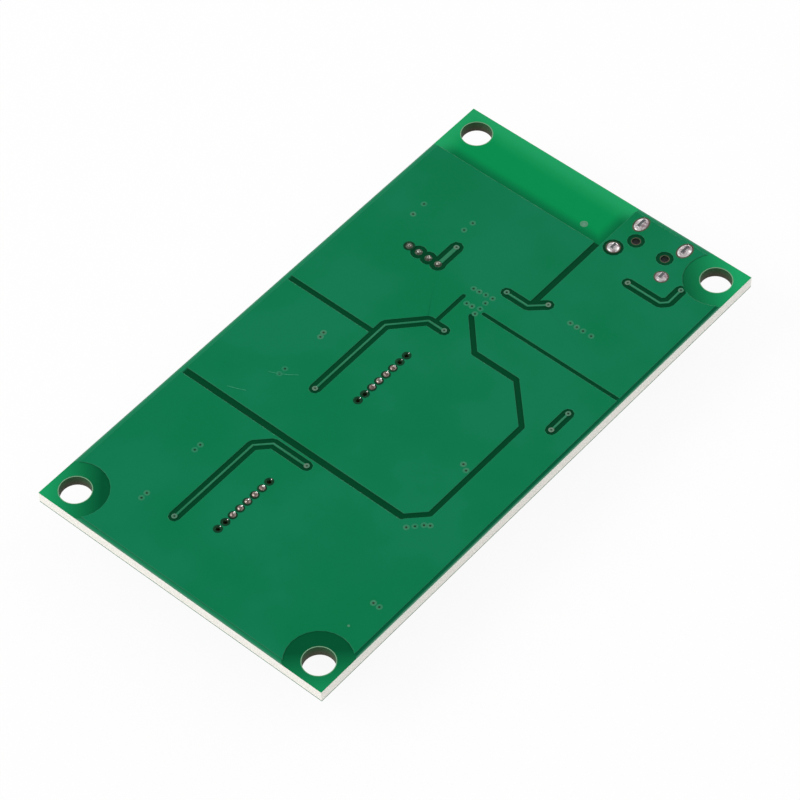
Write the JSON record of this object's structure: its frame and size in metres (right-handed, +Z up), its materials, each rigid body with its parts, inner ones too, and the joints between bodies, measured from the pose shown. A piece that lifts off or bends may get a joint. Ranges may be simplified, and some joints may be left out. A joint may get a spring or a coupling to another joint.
{
  "type": "wireless audio amplifier board",
  "caption": "Small rectangular circuit board of a wireless stereo audio amplifier, solder side up, with corner screw holes, a micro power socket and chips below.",
  "frame": {"origin": "under the middle of the board, at the height of the capacitors' tops, on which it rests", "axes": "+X along the long side towards the power socket, +Y across towards the edge with the crystal, +Z up out of the solder side"},
  "size_m": [0.07, 0.039, 0.0077],
  "materials": {
    "laminate": "glass-filled epoxy laminate, satin",
    "copper": "etched copper foil",
    "solder_mask": "green solder mask, glossy",
    "solder": "tin solder, bright and uneven",
    "socket_steel": "nickel-plated steel",
    "tinned_leads": "tin-plated, satin",
    "black_plastic": "moulded, matt",
    "can_aluminium": "drawn can, satin",
    "moulded_resin": "moulded, matt",
    "ferrite": "pressed and fired, matt",
    "ceramic": "fired, satin",
    "resistor_film": "glazed film on ceramic",
    "clear_resin": "clear cast resin"
  },
  "bodies": {
    "root": {"amplifier_left_body": "moulded_resin", "amplifier_left_leads": "tinned_leads", "amplifier_left_slug": "tinned_leads", "amplifier_right_body": "moulded_resin", "amplifier_right_leads": "tinned_leads", "amplifier_right_slug": "tinned_leads", "capacitor_1_base": "black_plastic", "capacitor_1_can": "can_aluminium", "capacitor_1_leads": "tinned_leads", "capacitor_2_base": "black_plastic", "capacitor_2_can": "can_aluminium", "capacitor_2_leads": "tinned_leads", "capacitor_3_base": "black_plastic", "capacitor_3_can": "can_aluminium", "capacitor_3_leads": "tinned_leads", "capacitor_4_base": "black_plastic", "capacitor_4_can": "can_aluminium", "capacitor_4_leads": "tinned_leads", "ceramic_bodies": "ceramic", "ceramic_end_caps": "tinned_leads", "component_copper": "copper", "component_pads": "solder", "component_side_mask": "solder_mask", "crystal_base": "ceramic", "crystal_lid": "socket_steel", "diode_body": "moulded_resin", "diode_plates": "tinned_leads", "ground_plane": "copper", "inductor_1_body": "ferrite", "inductor_1_plates": "tinned_leads", "inductor_2_body": "ferrite", "inductor_2_plates": "tinned_leads", "inductor_3_body": "ferrite", "inductor_3_plates": "tinned_leads", "inductor_4_body": "ferrite", "inductor_4_plates": "tinned_leads", "laminate": "laminate", "light_bodies": "clear_resin", "light_end_caps": "tinned_leads", "memory_body": "moulded_resin", "memory_leads": "tinned_leads", "printed_antenna": "copper", "programming_solder": "solder", "radio_body": "moulded_resin", "radio_contacts": "tinned_leads", "regulator_body": "moulded_resin", "regulator_leads": "tinned_leads", "resistor_bodies": "resistor_film", "resistor_end_caps": "tinned_leads", "signal_traces": "copper", "socket_contacts": "tinned_leads", "socket_insulator": "black_plastic", "socket_joints": "solder", "socket_shell": "socket_steel", "solder_side_mask": "solder_mask", "thermal_rims": "solder", "thermal_solder": "solder"}
  },
  "joints": []
}
